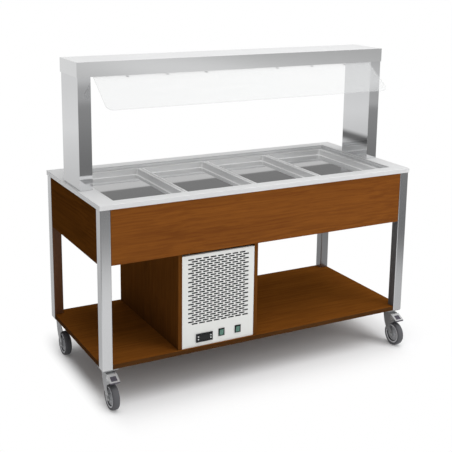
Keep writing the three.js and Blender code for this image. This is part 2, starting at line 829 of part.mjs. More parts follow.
function compressor(z) {
  const radius = compressorDiameter / 2;
  const pot = turned(potShares.map(([r, h]) => [r * radius, h * compressorHeight]), potSteps);
  const potZ = z + compressorFoot;
  const pieces = [pot.translate([boxX, compressorY, potZ])];
  const plateTop = potZ + compressorFootPlate;
  pieces.push(box(around(boxX, compressorFootWidth), around(compressorY, compressorFootDepth), [potZ, plateTop]));
  for (const x of [-1, 1]) {
    for (const y of [-1, 1]) {
      const footX = boxX + (x * (compressorFootWidth - compressorFoot)) / 2;
      const footY = compressorY + (y * (compressorFootDepth - compressorFoot)) / 2;
      pieces.push(rod("z", compressorFoot, [z, plateTop], footX, footY));
    }
  }
  const terminalX = boxX + radius;
  const terminalZ = potZ + compressorHeight / 2;
  pieces.push(box([terminalX - terminalBox / 2, terminalX + terminalBoxProud], around(compressorY, terminalBox), around(terminalZ, terminalBox)));
  add("compressor", join(pieces), blackPaint);
}

// Casters: a plate with its race, a fork that swivels on it, and a wheel. The front two have a brake pedal.
function casters() {
  for (const [name, x, y] of [["front_left", -1, -1], ["front_right", 1, -1], ["back_left", -1, 1], ["back_right", 1, 1]]) {
    const place = group(x * swivelX, y * swivelY, casterHeight - fit);
    add("caster_mount_" + name, casterMount(), zinc, place);
    add("caster_fork_" + name, casterFork(y < 0), zinc, place);
    const wheel = group(0, -casterTrail, fit - axleDrop, place);
    add("wheel_hub_" + name, wheelHub(), hubPlastic, wheel);
    add("wheel_tyre_" + name, wheelTyre(), rubber, wheel);
    if (y < 0) add("brake_pedal_" + name, brakePedal(), zinc, place);
  }
}

function casterMount() {
  const raceBottom = -casterPlateThickness - raceHeight;
  const headTop = raceBottom - 2 * fit - forkPlate;
  const half = both(casterPlate / 2);
  return join([
    box(half, half, [-casterPlateThickness, 0]),
    rod("z", raceDiameter, [raceBottom, -casterPlateThickness / 2], 0, 0, potSteps),
    rod("z", kingpin, [headTop - kingpinHeadHeight / 2, raceBottom + fit], 0, 0),
    rod("z", kingpinHead, [headTop - kingpinHeadHeight, headTop], 0, 0),
  ]);
}

// The fork's cheeks reach down to the axle, which is fixed in them.
function casterFork(braked) {
  const drop = axleDrop - fit;
  const at = ([forward, down]) => new THREE.Vector2(-forward * casterTrail, -down * drop);
  const outline = cheekFrontShares.map(at);
  for (let i = 0; i <= eyeSteps; i++) {
    const angle = eyeStart + (i * eyeSweep) / eyeSteps;
    outline.push(new THREE.Vector2(forkEye * Math.cos(angle) - casterTrail, forkEye * Math.sin(angle) - drop));
  }
  outline.push(...cheekBackShares.map(at));
  const insideX = forkInside / 2;
  const outsideX = insideX + forkPlate;
  const crownTop = -casterPlateThickness - raceHeight - fit;
  const crown = box(
    both(insideX + forkPlate / 2),
    [-cheekFrontShares[1][0] * casterTrail, -cheekFrontShares[0][0] * casterTrail],
    [crownTop - forkPlate, crownTop],
  );
  const hole = rod("z", kingpin + 2 * kingpinClearance, [crownTop - forkPlate - overrun, crownTop + overrun], 0, 0);
  const pieces = [
    crown.subtract(hole),
    crossPrism(outline, insideX, outsideX),
    crossPrism(outline, -outsideX, -insideX),
    rod("x", axleDiameter, both(outsideX + axleNutHeight), -casterTrail, -drop),
    rod("x", axleNut, [outsideX, outsideX + axleNutHeight], -casterTrail, -drop, nutSides),
    rod("x", axleNut, [-outsideX - axleNutHeight, -outsideX], -casterTrail, -drop, nutSides),
  ];
  if (braked) pieces.push(rod("x", pedalPin, both(pedalWidth / 2), -pedalPivotReach, -pedalPivotDrop));
  return join(pieces);
}

function wheelHub() {
  const bore = axleDiameter / 2 + axleClearance;
  const boss = hubBoss / 2;
  const rim = wheelRadius - tyreWall;
  const inside = rim - hubRim;
  return wheelTurned([
    [bore, -hubWidth / 2],
    [boss, -hubWidth / 2],
    [boss, -hubWeb / 2],
    [inside, -hubWeb / 2],
    [inside, -hubRimWidth / 2],
    [rim, -hubRimWidth / 2],
    [rim, hubRimWidth / 2],
    [inside, hubRimWidth / 2],
    [inside, hubWeb / 2],
    [boss, hubWeb / 2],
    [boss, hubWidth / 2],
    [bore, hubWidth / 2],
  ], hubSteps);
}

function wheelTyre() {
  const facet = Math.cos(Math.PI / tyreSteps);
  const outer = wheelRadius / facet;
  const inner = (wheelRadius - tyreWall + fit) / facet;
  const half = tyreWidth / 2;
  return wheelTurned([
    [inner, -half],
    [outer - tyreShoulder, -half],
    [outer - tyreCrown, tyreShoulder - half],
    [outer, 2 * tyreShoulder - half],
    [outer, half - 2 * tyreShoulder],
    [outer - tyreCrown, half - tyreShoulder],
    [outer - tyreShoulder, half],
    [inner, half],
  ], tyreSteps);
}

// The pedal's plate slopes forward over the wheel; its ears hang on the fork's pin.
function brakePedal() {
  const root = new THREE.Vector2(-pedalRootReach, -pedalRootDrop);
  const tip = new THREE.Vector2(-pedalTipReach, -pedalTipDrop);
  const along = root.clone().sub(tip).normalize();
  const rise = new THREE.Vector2(-along.y, along.x).multiplyScalar(pedalPlate);
  const plate = [tip, root, root.clone().add(rise), tip.clone().add(rise)];
  const half = pedalWidth / 2;
  const ear = [root, root.clone().lerp(tip, pedalEarShare)].map((p) => p.clone().addScaledVector(rise, 0.5));
  for (let i = 0; i <= eyeSteps; i++) {
    const angle = Math.PI * (1 + i / eyeSteps);
    const y = pedalEar * Math.cos(angle) - pedalPivotReach;
    ear.push(new THREE.Vector2(y, pedalEar * Math.sin(angle) - pedalPivotDrop));
  }
  const pieces = [
    crossPrism(plate, -half, half),
    crossPrism(ear, half - pedalEarWall, half),
    crossPrism(ear, -half, pedalEarWall - half),
  ];
  const bore = rod("x", pedalPin + 2 * fit, both(half + overrun), -pedalPivotReach, -pedalPivotDrop);
  return join(pieces).subtract(bore);
}

worktop();
tank();
tankCasing();
drain();
legs();
aprons();
shelf();
pans();
posts();
canopy();
lamp();
guard();
compartment();
controller();
switches();
refrigerationUnit();
casters();

export default trolley;
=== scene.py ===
"""Cold buffet trolley: steel top with a refrigerated well and four pans, lit canopy with a clear guard,
brown boards, a machine box and four casters. Lengths of the pieces are in millimetres, and those of the
studio and in shaders are in metres."""
import json
import math

import bmesh
import bpy
from mathutils import Matrix, Vector


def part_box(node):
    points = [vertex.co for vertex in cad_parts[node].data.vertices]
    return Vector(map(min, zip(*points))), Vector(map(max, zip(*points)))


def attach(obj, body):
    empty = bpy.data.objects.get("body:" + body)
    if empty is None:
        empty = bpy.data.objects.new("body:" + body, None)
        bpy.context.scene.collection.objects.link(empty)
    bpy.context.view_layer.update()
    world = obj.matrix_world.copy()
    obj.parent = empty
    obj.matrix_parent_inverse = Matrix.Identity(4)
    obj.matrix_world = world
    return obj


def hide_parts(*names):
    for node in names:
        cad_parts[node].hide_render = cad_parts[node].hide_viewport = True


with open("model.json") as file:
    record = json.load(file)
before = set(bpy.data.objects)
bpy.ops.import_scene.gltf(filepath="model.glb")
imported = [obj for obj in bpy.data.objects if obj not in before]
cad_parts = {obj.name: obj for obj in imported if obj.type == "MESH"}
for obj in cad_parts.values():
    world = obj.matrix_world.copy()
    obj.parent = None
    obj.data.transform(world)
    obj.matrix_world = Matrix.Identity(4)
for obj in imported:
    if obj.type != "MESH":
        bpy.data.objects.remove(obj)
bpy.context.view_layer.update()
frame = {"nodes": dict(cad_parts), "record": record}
nodes = frame["nodes"]
bodies = frame["record"]["behaviour"]["bodies"]
body_of_node = {node: body for body, members in bodies.items() for node in members}
slot_of_node = {s["node"]: s["material_slot"] for s in frame["record"]["subparts"]}
corners = ("front_left", "front_right", "back_left", "back_right")
MM = 0.001
# the axes by number
X, Y, Z = range(3)
# how much of a face's normal has to point one way
straight = 0.9


# Shader maths

class Wire:
    """A socket inside a material that sums, products and comparisons can be written with."""

    def __init__(self, sheet, socket):
        self.sheet = sheet
        self.socket = socket

    def maths(self, operation, *values):
        return self.sheet.node("ShaderNodeMath", {"operation": operation}, values)

    def __add__(self, other):
        return self.maths("ADD", self, other)

    def __sub__(self, other):
        return self.maths("SUBTRACT", self, other)

    def __rsub__(self, other):
        return self.maths("SUBTRACT", other, self)

    def __mul__(self, other):
        return self.maths("MULTIPLY", self, other)

    def __truediv__(self, other):
        return self.maths("DIVIDE", self, other)

    def __gt__(self, other):
        return self.maths("GREATER_THAN", self, other)

    def __lt__(self, other):
        return self.maths("LESS_THAN", self, other)

    def step(self, low, high):
        """Runs smoothly from 0 at low to 1 at high."""
        return self.sheet.node("ShaderNodeMapRange", {"interpolation_type": "SMOOTHSTEP"}, {
            "Value": self, "From Min": low, "From Max": high})


class Sheet:
    """The node tree of one material, or of the world."""

    def __init__(self, tree):
        self.tree = tree
        tree.nodes.clear()

    def node(self, kind, settings=None, values=(), out=0):
        """One node: its settings, then the values or links of its sockets, and which output to use."""
        made = self.tree.nodes.new(kind)
        for key, value in (settings or {}).items():
            if key == "ramp":
                stops = made.color_ramp.elements
                stops[0].position, stops[1].position = value[0][0], value[-1][0]
                for place, colour in value[1:-1]:
                    stops.new(place)
                for stop, (place, colour) in zip(stops, value):
                    stop.color = (*colour, 1)
            else:
                setattr(made, key, value)
        pairs = values.items() if isinstance(values, dict) else enumerate(values)
        for key, value in pairs:
            if isinstance(value, Wire):
                self.tree.links.new(value.socket, made.inputs[key])
            else:
                made.inputs[key].default_value = value
        return Wire(self, made.outputs[out])

    def place(self, stretch=(1, 1, 1)):
        """The place on the piece in metres, times a factor along each axis."""
        point = self.node("ShaderNodeTexCoord", {}, (), "Object")
        return self.node("ShaderNodeMapping", {}, {"Vector": point, "Scale": stretch})

    def grained(self, grain, along, across):
        """The place on the piece, drawn out along the axis of its grain."""
        return self.place([along if axis == grain else across for axis in range(3)])

    def parts(self, vector):
        made = self.node("ShaderNodeSeparateXYZ", {}, [vector]).socket.node
        return [Wire(self, made.outputs[i]) for i in range(3)]

    def noise(self, vector, scale, detail=2.0, roughness=0.5):
        return self.node("ShaderNodeTexNoise", {}, {
            "Vector": vector, "Scale": scale, "Detail": detail, "Roughness": roughness})

    def mix(self, share, first, second):
        first = first if isinstance(first, Wire) else (*first, 1)
        second = second if isinstance(second, Wire) else (*second, 1)
        return self.node("ShaderNodeMix", {"data_type": "RGBA"}, {0: share, 6: first, 7: second}, 2)

    def shades(self, share, colour, dark, light):
        """A colour that runs from a darker to a lighter shade of itself."""
        return self.mix(share, [c * dark for c in colour], [min(1, c * light) for c in colour])

    def ramp(self, value, reach, stops):
        """Greys by place along a scale from 0 to reach."""
        shares = [(place / reach, (grey, grey, grey)) for place, grey in stops]
        return self.node("ShaderNodeValToRGB", {"ramp": shares}, [value / reach])

    def bump(self, height, distance, strength):
        return self.node("ShaderNodeBump", {}, {
            "Height": height, "Distance": distance, "Strength": strength})

    def light_path(self, output):
        return self.node("ShaderNodeLightPath", {}, (), output)

    def surface(self, shader, kind="ShaderNodeOutputMaterial"):
        end = self.tree.nodes.new(kind)
        self.tree.links.new(shader.socket, end.inputs["Surface"])

    def principled(self, **values):
        named = {key.replace("_", " "): value for key, value in values.items()}
        return self.node("ShaderNodeBsdfPrincipled", {}, named)


def linear(red, green, blue):
    """A colour as an eye reads it, from 0 to 255, in the numbers a shader wants."""
    def one(value):
        value /= 255
        return value / 12.92 if value <= 0.04045 else ((value + 0.055) / 1.055) ** 2.4
    return tuple(one(v) for v in (red, green, blue))


def material(name):
    made = bpy.data.materials.new(name)
    made.use_nodes = True
    return made, Sheet(made.node_tree)


# Finishes

def brushed(name, colour, rough, grain, spread=0.06, scratch=0.00002, metallic=1.0, shade=None):
    """Steel with a fine grain along one axis, and faint clouds from handling. A shade is a painted
    reflection, a dark band
    between heights in metres: where it starts and is full, and where it fades and ends."""
    made, s = material(name)
    fine = s.noise(s.grained(grain, 1.5, 60), 14, 3, 0.6)
    clouds = s.noise(s.place(), 5, 3, 0.55)
    tone = fine * 0.5 + clouds * 0.5
    ground = s.shades(tone, colour, 0.93, 1.05)
    if shade:
        starts, full, fades, ends = shade
        height = s.parts(s.place())[2]
        inside = height.step(starts, full) * (1 - height.step(fades, ends))
        # the dark band darkens the colour: a painted reflection
        ground = s.mix(inside * 0.85, ground, [c * 0.1 for c in colour])
    s.surface(s.principled(
        Base_Color=ground,
        Metallic=metallic,
        Roughness=tone * spread + (rough - spread / 2),
        Normal=s.bump(fine, scratch, 0.4)))
    return made


def laminate(name, light, dark, grain, gloss, shine=0.0):
    """Brown board: long fine fibres in a warm ground, darker streaks and slow changes of tone."""
    made, s = material(name)
    bends = s.noise(s.grained(grain, 0.6, 5), 3.0, 3)
    sideways = s.node("ShaderNodeTexNoise", {}, {"Vector": s.place(), "Scale": 2.5, "Detail": 2.0}, "Color")
    drift = s.node("ShaderNodeVectorMath", {"operation": "SCALE"}, {0: sideways, "Scale": 1.2})
    wander = s.node("ShaderNodeVectorMath", {"operation": "ADD"}, [s.grained(grain, 1.6, 46), drift])
    bands = s.noise(wander, 2.8, 5, 0.62)
    fibres = s.noise(s.grained(grain, 3, 160), 5, 4, 0.65)
    pores = s.noise(s.grained(grain, 9, 420), 3, 2, 0.5).step(0.6, 0.72)
    tone = bands.step(0.33, 0.67) * 0.48 + fibres * 0.36 + bends * 0.36 - 0.09
    s.surface(s.principled(
        Base_Color=s.mix(pores * 0.35, s.mix(tone, dark, light), [c * 0.6 for c in dark]),
        Roughness=fibres * 0.12 + gloss,
        Normal=s.bump(fibres - pores * 0.6, 0.00006, 0.5),
        Specular_IOR_Level=shine))
    return made


def paint(name, colour, rough, peel=0.00004, size=900):
    """Powder coat or enamel with a fine orange peel."""
    made, s = material(name)
    skin = s.noise(s.place(), size, 2, 0.5)
    clouds = s.noise(s.place(), 6, 3, 0.5)
    s.surface(s.principled(
        Base_Color=s.shades(clouds, colour, 0.96, 1.03),
        Roughness=clouds * 0.08 + rough,
        Normal=s.bump(skin, peel, 0.5)))
    return made


def moulded(name, colour, rough, grain=1400, glow=0.0, coat=0.0, shine=0.5):
    """Moulded plastic or rubber with a fine spark-eroded skin."""
    made, s = material(name)
    skin = s.noise(s.place(), grain, 2, 0.6)
    wear = s.noise(s.place(), 24, 4, 0.6)
    s.surface(s.principled(
        Base_Color=s.shades(wear, colour, 0.9, 1.1),
        Roughness=wear * 0.1 + rough,
        Normal=s.bump(skin, 0.00003, 0.5),
        Specular_IOR_Level=shine,
        Coat_Weight=coat,
        Coat_Roughness=0.1,
        Emission_Color=(*colour, 1),
        Emission_Strength=glow))
    return made


def clear_sheet(name):
    """A clear polished guard: almost nothing shows of it but a faint veil and its reflections."""
    made, s = material(name)
    wipes = s.noise(s.place((1, 6, 6)), 5, 3, 0.5)
    s.surface(s.principled(
        Base_Color=(0.62, 0.63, 0.63, 1),
        Roughness=wipes * 0.04 + 0.03,
        Alpha=wipes * 0.04 + 0.2))
    return made


# painted shade: the back right leg's darker steel and the front right leg's dark inner faces; painted
# reflections: the right post's dark band and the brown on the back left leg's front faces
bright = (0.72, 0.725, 0.735)
top_steel = brushed("top_steel", (0.80, 0.803, 0.806), 0.42, X, metallic=0.35)
upright_steel = brushed("upright_steel", bright, 0.2, Z, 0.05)
rear_painted_shade_steel = brushed("rear_painted_shade_steel", (0.33, 0.333, 0.34), 0.3, Z, 0.05)
inner_painted_shade_steel = brushed("inner_painted_shade_steel", (0.115, 0.116, 0.118), 0.5, Z, metallic=0.15)
post_steel = brushed("post_steel", bright, 0.06, Z, 0.02, 0.000002)
painted_reflection_band_steel = brushed("painted_reflection_band_steel", bright, 0.06, Z, 0.02, 0.000002, shade=(0.888, 0.922, 0.932, 0.962))
painted_board_reflection_steel = brushed("painted_board_reflection_steel", linear(104, 64, 32), 0.5, Z, metallic=0.1)
hood_steel = brushed("hood_steel", (0.78, 0.785, 0.79), 0.1, X, 0.04, 0.000006)
lid_steel = brushed("lid_steel", (0.73, 0.732, 0.735), 0.45, X, metallic=0.15)
well_steel = brushed("well_steel", (0.74, 0.745, 0.75), 0.34, X, metallic=0.8)
pan_steel = brushed("pan_steel", (0.90, 0.902, 0.904), 0.014, X, 0.008, 0.0000003)
pan_wall = brushed("pan_wall", (0.70, 0.702, 0.705), 0.5, X, metallic=0.1)
pan_rim = brushed("pan_rim", (0.80, 0.802, 0.805), 0.4, X, metallic=0.4)
pan_far = brushed("pan_far", (0.53, 0.532, 0.535), 0.45, X, metallic=0.2)
zinc = brushed("zinc_plate", (0.43, 0.435, 0.44), 0.38, Y, 0.10, metallic=0.8)
bright_zinc = brushed("bright_zinc", (0.66, 0.665, 0.67), 0.34, Y, 0.08, metallic=0.7)
brass = brushed("plain_brass", (0.60, 0.44, 0.20), 0.32, Z)
apron_wood = laminate("apron_wood", linear(134, 79, 26), linear(98, 52, 15), X, 0.42, 0.06)
# a darker copy of the board for the ends: painted shade
end_wood_painted_shade = laminate("end_wood_painted_shade", linear(98, 57, 18), linear(68, 37, 10), Y, 0.42)
shelf_wood = laminate("shelf_wood", linear(129, 77, 27), linear(94, 53, 17), X, 0.34)
shelf_edge_wood = laminate("shelf_edge_wood", linear(84, 54, 28), linear(62, 38, 18), X, 0.42)
# a darker copy of the board for the machine box's sides: painted shade
side_wood_painted_shade = laminate("side_wood_painted_shade", linear(106, 64, 25), linear(76, 43, 15), Z, 0.42)
panel_paint = paint("panel_paint", linear(219, 220, 217), 0.42)
black_paint = paint("black_enamel", linear(32, 33, 34), 0.35, 0.00008, 300)
black_plastic = moulded("black_plastic", linear(28, 28, 30), 0.38, shine=0.2)
smoked = moulded("smoked_window", linear(14, 15, 17), 0.12, coat=0.15, shine=0.3)
# black for the mat behind the front slots: painted shade
slot_shade_black = moulded("slot_shade_black", linear(12, 12, 13), 0.9, 300, shine=0.05)
pale_plastic = moulded("pale_plastic", linear(206, 208, 206), 0.4)
green_lens = moulded("green_lens", linear(70, 114, 99), 0.22, 900, glow=0.06, coat=0.4)
opal = moulded("opal_cover", linear(244, 243, 236), 0.45, 900, glow=0.25)
foam_skin = moulded("foam_skin", linear(196, 198, 200), 0.6, 500)
tyre_rubber = moulded("tyre_rubber", linear(84, 84, 87), 0.62, 700)
hub_plastic = moulded("hub_plastic", linear(168, 169, 172), 0.42)
hub_rim_painted_light = moulded("hub_rim_painted_light", linear(214, 215, 218), 0.38)
hub_groove_painted_shade = moulded("hub_groove_painted_shade", linear(70, 70, 72), 0.55)
pedal_pad = moulded("pedal_pad", linear(78, 74, 84), 0.5, 600)
guard_clear = clear_sheet("guard_clear")


# Making pieces

def piece(name, mesh, body, finish, slot, *stands_for):
    """Takes a finished mesh into the scene as one piece of the trolley."""
    made = bpy.data.objects.new(name, mesh)
    bpy.context.scene.collection.objects.link(made)
    mesh.materials.clear()
    mesh.materials.append(finish)
    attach(made, body)
    if stands_for:
        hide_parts(*stands_for)
    return made


def instead_of(node, name, mesh, finish):
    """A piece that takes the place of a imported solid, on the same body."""
    return piece(name, mesh, body_of_node[node], finish, slot_of_node[node], node)


def box_in_mm(node):
    """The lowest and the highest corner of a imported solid, in millimetres."""
    return [[v / MM for v in corner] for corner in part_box(node)]


def smooth(mesh, angle=32):
    """Smooth shading, but sharp where two faces meet at more than an angle."""
    mesh.shade_smooth()
    mesh.set_sharp_from_angle(angle=math.radians(angle))
    return mesh


def mesh_from(made, name):
    """An ordinary mesh from one that was being edited."""
    mesh = bpy.data.meshes.new(name)
    made.to_mesh(mesh)
    made.free()
    return mesh


def welded(node):
    """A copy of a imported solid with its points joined, ready for its edges to be broken."""
    made = bmesh.new()
    made.from_mesh(nodes[node].data)
    bmesh.ops.remove_doubles(made, verts=made.verts, dist=0.00002)
    return mesh_from(made, node)


def broken(made, width, segments=2, angle=30):
    """Breaks a piece's sharp edges, as a fold or a file leaves them, and keeps the flat faces flat."""
    edge = made.modifiers.new("edge", "BEVEL")
    edge.width = width * MM
    edge.segments = segments
    edge.limit_method = "ANGLE"
    edge.angle_limit = math.radians(angle)
    edge.miter_outer = "MITER_ARC"
    edge.use_clamp_overlap = True
    flat = made.modifiers.new("flat", "WEIGHTED_NORMAL")
    flat.mode = "FACE_AREA"
    flat.weight = 100
    flat.keep_sharp = True
    return made


def facing(made, way, finish):
    """Another finish on the faces that look one way."""
    made.data.materials.append(finish)
    for face in made.data.polygons:
        if face.normal.dot(Vector(way)) > straight:
            face.material_index = len(made.data.materials) - 1


def refined(node, name, finish, width, segments=2, angle=30, shade=32, lid=None):
    """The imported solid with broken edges, and another finish on its upper faces where one is given."""
    made = instead_of(node, name, smooth(welded(node), shade), finish)
    if lid:
        facing(made, (0, 0, 1), lid)
    return broken(made, width, segments, angle)


def dress(node, finish):
    """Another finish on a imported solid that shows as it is."""
    slots = nodes[node].data.materials
    slots.clear()
    slots.append(finish)


def slot_walls_painted_shade(node, mesh, finish, margin):
    """Another finish on the walls of the slots in a panel that faces front or back; the black one it is
    given is painted shade.
    """
    low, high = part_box(node)
    mesh.materials.append(finish)
    for face in mesh.polygons:
        middle = nodes[node].matrix_world @ face.center
        inside = all(low[i] + margin * MM < middle[i] < high[i] - margin * MM for i in (X, Z))
        wall = abs(face.normal.y) < 0.5
        if inside and wall:
            face.material_index = 1


def taller_slots(mesh, factor, most):
    """Draws each slot out upwards and downwards, where it is less than so many millimetres high."""
    made = bmesh.new()
    made.from_mesh(mesh)
    walls = {face for face in made.faces if face.material_index == 1}
    while walls:
        points, queue = set(), [walls.pop()]
        while queue:
            face = queue.pop()
            points.update(face.verts)
            near = {other for point in face.verts for other in point.link_faces} & walls
            walls -= near
            queue.extend(near)
        heights = [point.co.z for point in points]
        middle = (min(heights) + max(heights)) / 2
        if max(heights) - min(heights) < most * MM:
            for point in points:
                point.co.z = middle + (point.co.z - middle) * factor
    made.to_mesh(mesh)
    made.free()


def ring_mesh(name, rings, closed=False):
    """A skin over rings of points, each as long as the next. A closed one joins its last ring to its
    first, and the others have a face at each end."""
    made = bmesh.new()
    rows = [[made.verts.new(p) for p in ring] for ring in rings]
    count = len(rows[0])
    following = rows[1:] + rows[:1] if closed else rows[1:]
    for low, high in zip(rows, following):
        for i in range(count):
            j = (i + 1) % count
            made.faces.new((low[i], low[j], high[j], high[i]))
    if not closed:
        made.faces.new(rows[0][::-1])
        made.faces.new(rows[-1])
    bmesh.ops.recalc_face_normals(made, faces=made.faces)
    return mesh_from(made, name)


def turned_x(name, profile, centre, steps=72):
    """A closed ring turned about X: the profile is radius and place along X, in millimetres."""
    rings = []
    for i in range(steps):
        a = 2 * math.pi * i / steps
        rings.append([
            (centre[X] + x * MM, centre[Y] + r * MM * math.cos(a), centre[Z] + r * MM * math.sin(a))
            for r, x in profile])
    return ring_mesh(name, rings, closed=True)


def rounded(width, length, radius, steps):
    """An outline with round corners, in millimetres."""
    points = []
    x, y = width / 2 - radius, length / 2 - radius
    for quarter, (cx, cy) in enumerate(((x, y), (-x, y), (-x, -y), (x, -y))):
        for i in range(steps + 1):
            a = (quarter + i / steps) * math.pi / 2
            points.append((cx + radius * math.cos(a), cy + radius * math.sin(a)))
    return points


# Steelwork and boards

refined("worktop", "worktop_sheet", top_steel, 1.2, 3)
refined("tank", "tank_sheet", well_steel, 0.8)
dress("tank_casing", foam_skin)
for corner in corners:
    # the back right leg is darker all over: painted shade
    finish = rear_painted_shade_steel if corner == "back_right" else upright_steel
    made = refined("leg_" + corner, "leg_tube_" + corner, finish, 0.5, 1)
    # the front right leg's inner faces are painted dark: painted shade
    if corner == "front_right":
        facing(made, (-1, 0, 0), inner_painted_shade_steel)
    # the back left leg's front faces are painted brown: a painted reflection of the boards
    if corner == "back_left":
        facing(made, (0, -1, 0), painted_board_reflection_steel)
for side in ("left", "right"):
    made = refined("post_" + side, "post_sheet_" + side, post_steel, 1.6, 3)
    # the right post's inner faces carry a dark band near the worktop: a painted reflection
    if side == "right":
        facing(made, (-1, 0, 0), painted_reflection_band_steel)
    # the box sides take the darker copy: painted shade
    refined("box_side_" + side, "box_board_" + side, side_wood_painted_shade, 0.8)
for side in ("front", "back"):
    refined("apron_" + side, "apron_board_" + side, apron_wood, 0.8)

# the slot walls of both panels are painted black: painted shade
dress("vent_panel_back", panel_paint)
slot_walls_painted_shade("vent_panel_back", nodes["vent_panel_back"].data, black_paint, margin=22)
front_sheet = welded("vent_panel_front")
instead_of("vent_panel_front", "vent_sheet_front", front_sheet, panel_paint)
slot_walls_painted_shade("vent_panel_front", front_sheet, black_paint, margin=8)
taller_slots(front_sheet, factor=1.29, most=6)

# the end boards take the darker copy: painted shade
for side in ("left", "right"):
    refined("apron_" + side, "apron_board_" + side, end_wood_painted_shade, 0.8)
refined("shelf", "shelf_board", shelf_edge_wood, 0.8, lid=shelf_wood)
refined("canopy", "canopy_sheet", hood_steel, 0.9, lid=lid_steel)
refined("lamp_housing", "lamp_tray", hood_steel, 0.5)
refined("lamp_diffuser", "lamp_cover", opal, 0.8)
refined("guard", "guard_sheet", guard_clear, 1.0)
refined("drain_lever", "drain_handle", zinc, 0.8)
refined("drain_valve", "drain_body", brass, 0.5)


# Pans

def pan(node):
    """A pressed tray with a rim, round walls and a flat floor; its far wall and far rim are greyer, a
    painted shade.
    """
    low, high = box_in_mm(node)
    cx, cy = (low[X] + high[X]) / 2, (low[Y] + high[Y]) / 2
    play = 0.4
    width, length = high[X] - low[X] - play, high[Y] - low[Y] - play
    rim, floor = high[Z], low[Z]
    gauge = 1.2
    # inset from the rim's outer edge, height, corner radius
    upper = [
        (0, rim - 1.1, 12), (0.1, rim - 0.4, 12), (0.6, rim - 0.05, 12), (1.4, rim, 11.5),
        (10.2, rim, 14), (11.4, rim - 0.3, 14), (12.4, rim - 1.2, 14), (13.0, rim - 2.6, 14),
        (14.0, rim - 6, 15), (19.5, rim - 18.5, 18), (20.6, rim - 20.8, 19), (22.2, rim - 22.6, 20),
        (24.6, rim - 23.6, 21), (28, rim - 23.9, 24)]
    lower = [
        (28, floor, 24), (24.3, floor + 0.1, 22), (21.4, floor + 1.2, 21), (19.4, floor + 3.2, 20),
        (18.2, floor + 5.6, 19), (12.8, rim - 6.6, 16), (11.8, rim - 2.6, 15),
        (10.6, rim - gauge, 14), (1.2, rim - gauge, 11.5)]
    rings = []
    for inset, z, radius in upper[::-1] + lower[::-1]:
        outline = rounded(width - 2 * inset, length - 2 * inset, radius, 6)
        rings.append([((cx + x) * MM, (cy + y) * MM, z * MM) for x, y in outline])
    mesh = smooth(ring_mesh(node, rings), 40)
    instead_of(node, node + "_tray", mesh, pan_steel)
    # the walls, the rim and the far faces take copies of the pan's steel in other greys, the far ones
    # darkest: painted light and shade by where each face looks
    for finish in (pan_wall, pan_rim, pan_far):
        mesh.materials.append(finish)
    far_strip, faces_front = 15, -0.6
    far_edge = (high[Y] - far_strip) * MM
    for face in mesh.polygons:
        # the floor and the underside are the only faces with more than four corners
        face.use_smooth = len(face.vertices) == 4
        if face.use_smooth:
            far = face.center.y > far_edge or face.normal.y < faces_front
            face.material_index = 3 if far else 2 if face.normal.z > straight else 1


for number in (1, 2, 3, 4):
    pan("pan_%d" % number)


# Controls and machine

refined("controller", "controller_case", black_plastic, 0.7)
for number in (1, 2, 3, 4):
    refined("controller_button_%d" % number, "controller_key_%d" % number, pale_plastic, 0.4)
for number in (1, 2):
    refined("switch_bezel_%d" % number, "switch_frame_%d" % number, black_plastic, 0.6)
    refined("switch_rocker_%d" % number, "switch_lens_%d" % number, green_lens, 0.5)

refined("unit_base", "machine_tray", zinc, 0.5)
refined("compressor", "compressor_pot", black_paint, 1.0, angle=40, shade=50)
refined("condenser", "condenser_block", black_paint, 0.3, 1)
refined("fan_motor", "fan_motor_case", black_paint, 0.8)
refined("fan_blade", "fan_wheel", black_plastic, 0.3, 1)


# Casters

def mirrored(points):
    """A profile's points again on the other side of the wheel's middle, from the last to the first."""
    return [(r, -x) for r, x in points[::-1]]


def wheel(corner):
    """A caster's tyre, and its hub with a dark groove and a pale rim, turned from profiles: the dark groove
    is painted shade and the pale rim painted light.
    """
    tyre, hub = "wheel_tyre_" + corner, "wheel_hub_" + corner
    low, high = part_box(tyre)
    centre = [(a + b) / 2 for a, b in zip(low, high)]
    # radius, place across the wheel
    tread = [
        (43.4, -14), (44.2, -14.7), (47.5, -15.0), (50.2, -13.8), (52.3, -11.2), (53.4, -7.5),
        (53.8, -3.4)]
    profile = tread + [(53.9, 0)] + mirrored(tread)
    instead_of(tyre, "tyre_" + corner, smooth(turned_x("tyre", profile, centre), 60), tyre_rubber)
    web = [
        (4.35, -15.9), (9.4, -15.9), (9.8, -15.2), (13.0, -15.2), (14.4, -14.2), (15.2, -9.4),
        (17, -7.6), (28.4, -6.8), (31.0, -8.6), (32.2, -8.6), (32.8, -5.6), (35.8, -5.6),
        (36.4, -11.6), (37.4, -13.0), (41.6, -13.6), (42.6, -12.8), (42.9, -11.4)]
    mesh = smooth(turned_x("hub", web + mirrored(web), centre), 40)
    piece("hub_" + corner, mesh, body_of_node[tyre], hub_plastic, slot_of_node[hub], hub)
    mesh.materials.append(hub_groove_painted_shade)
    mesh.materials.append(hub_rim_painted_light)
    # the groove is painted dark and the raised rim pale: painted shade and painted light
    groove_from, rim_from = 32.5, 36.5
    for face in mesh.polygons:
        radius = math.hypot(face.center.y - centre[Y], face.center.z - centre[Z]) / MM
        face.material_index = 2 if radius > rim_from else 1 if radius > groove_from else 0


for corner in corners:
    wheel(corner)
    refined("caster_fork_" + corner, "fork_press_" + corner, zinc, 0.8, shade=40)
    refined("caster_mount_" + corner, "caster_plate_" + corner, zinc, 0.6)
for corner in corners[:2]:
    refined("brake_pedal_" + corner, "pedal_press_" + corner, bright_zinc, 0.6)


# Small hardware

